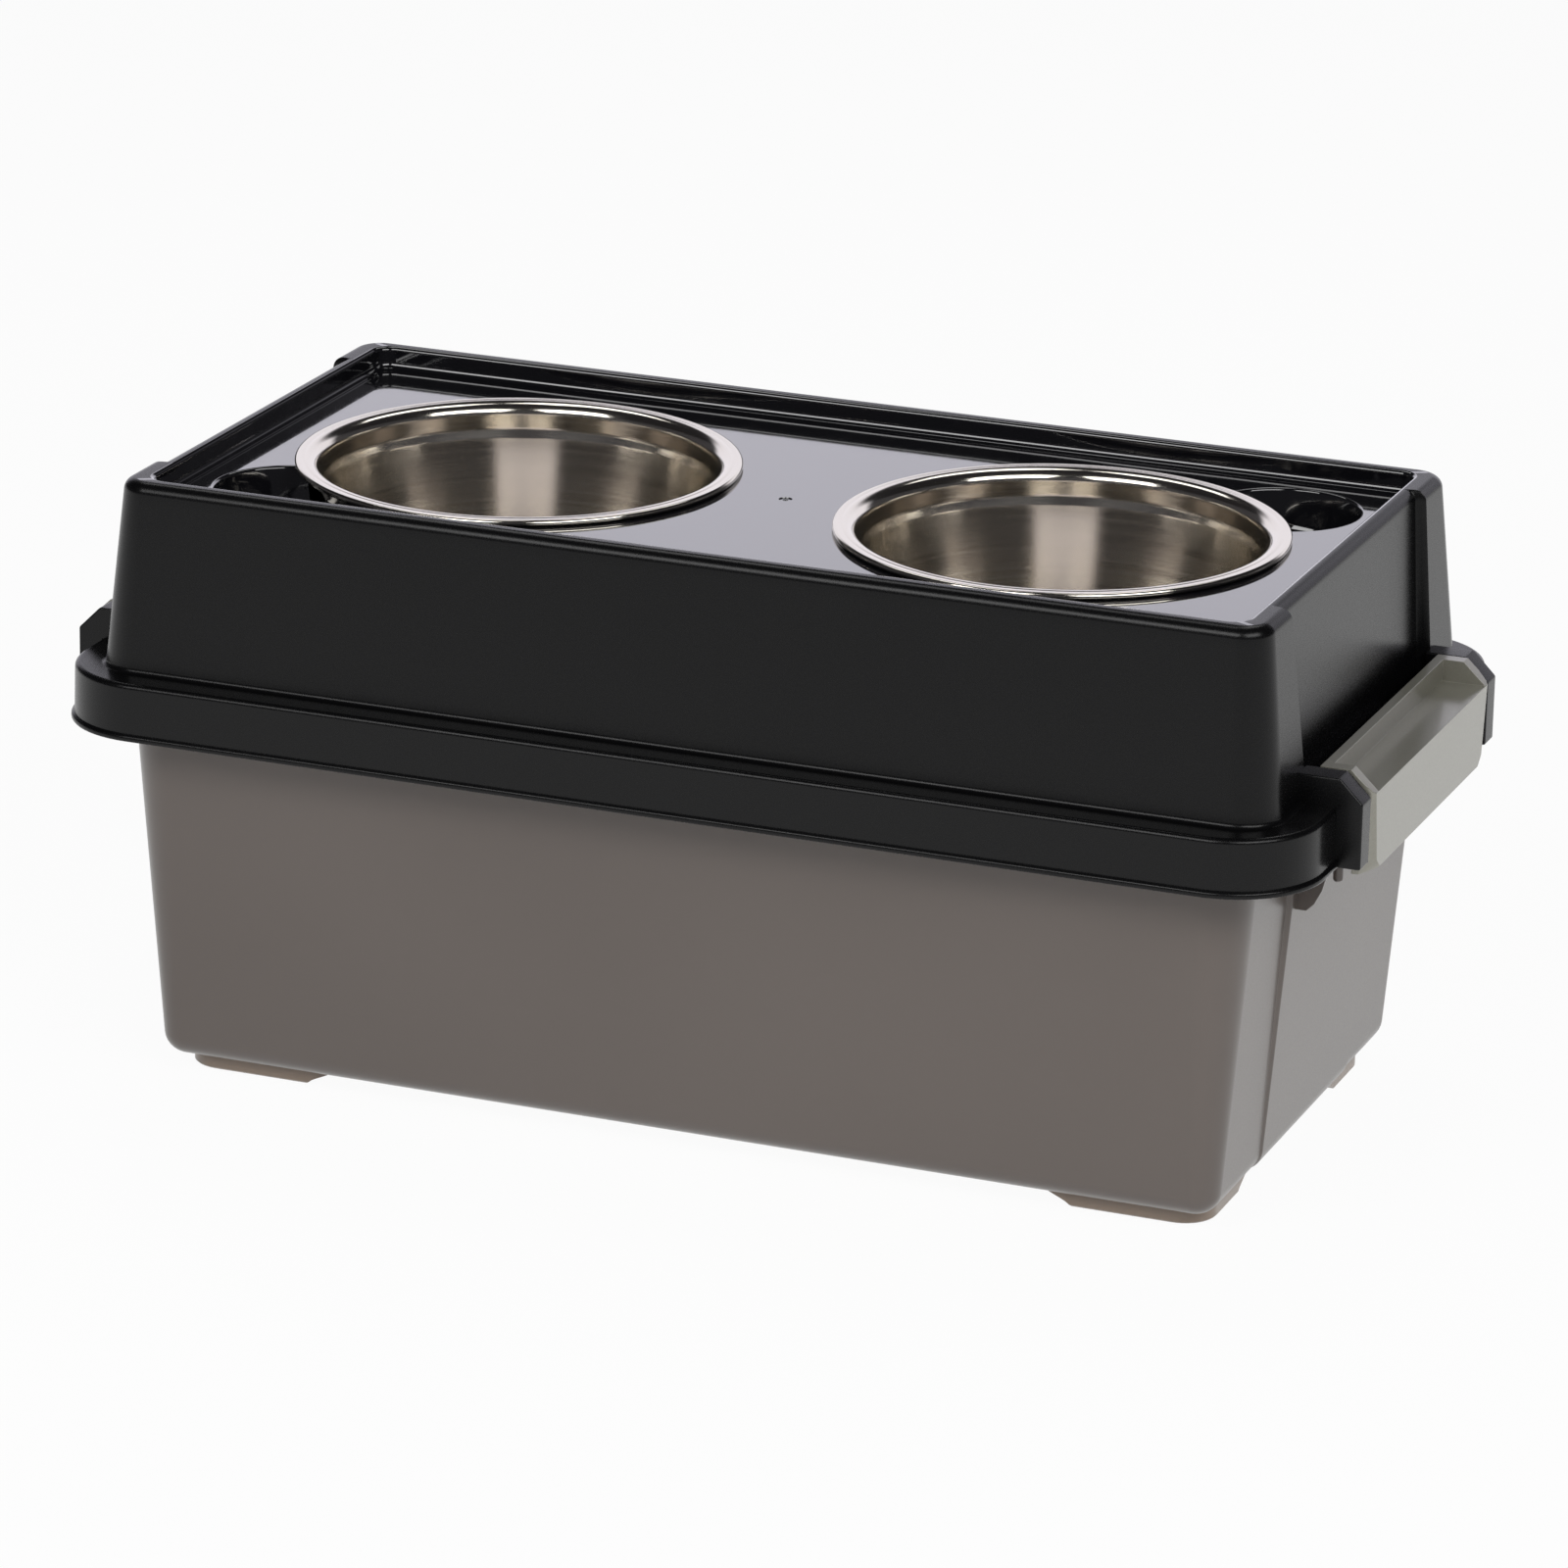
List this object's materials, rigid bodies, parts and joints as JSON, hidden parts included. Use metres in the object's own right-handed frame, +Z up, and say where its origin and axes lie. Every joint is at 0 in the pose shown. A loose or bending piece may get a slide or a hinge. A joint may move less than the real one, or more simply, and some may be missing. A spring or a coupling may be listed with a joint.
{
  "type": "elevated dog feeder with storage",
  "caption": "Raised feeding station: a storage bin with a lid that holds steel bowls in a shallow tray, with finger pockets to lift them out and a flip-up latch at each end",
  "frame": {"origin": "on the floor under the middle of the feeder, at the centre of its bounding box", "axes": "+X along the long side to the feeder's right end, +Y to the rear long side, +Z up; the front is the long side at -Y"},
  "size_m": [0.6232, 0.3292, 0.2857],
  "materials": {
    "bin": "satin, translucent",
    "lid": "satin gloss",
    "seal": "matte",
    "bowl": "spun inside, satin rim",
    "latch": "pearl satin"
  },
  "bodies": {
    "storage_bin": {"storage_bin": "bin"},
    "lid": {"lid": "lid", "lid_seal": "seal"},
    "left_bowl": {"left_bowl": "bowl"},
    "right_bowl": {"right_bowl": "bowl"},
    "left_latch": {"left_latch": "latch"},
    "right_latch": {"right_latch": "latch"}
  },
  "joints": [
    {"name": "lid_lift", "type": "slide", "parent": "storage_bin", "child": "lid", "axis": [0, 0, 1], "range_m": [0, 0.18]},
    {"name": "left_bowl_lift", "type": "slide", "parent": "lid", "child": "left_bowl", "axis": [0, 0, 1], "range_m": [0, 0.1]},
    {"name": "right_bowl_lift", "type": "slide", "parent": "lid", "child": "right_bowl", "axis": [0, 0, 1], "range_m": [0, 0.1]},
    {"name": "left_latch_hinge", "type": "hinge", "parent": "lid", "child": "left_latch", "pos_m": [-0.29212, 0, 0.207], "axis": [0, 1, 0], "range_deg": [0, 110]},
    {"name": "right_latch_hinge", "type": "hinge", "parent": "lid", "child": "right_latch", "pos_m": [0.29212, 0, 0.207], "axis": [0, -1, 0], "range_deg": [0, 110]}
  ]
}
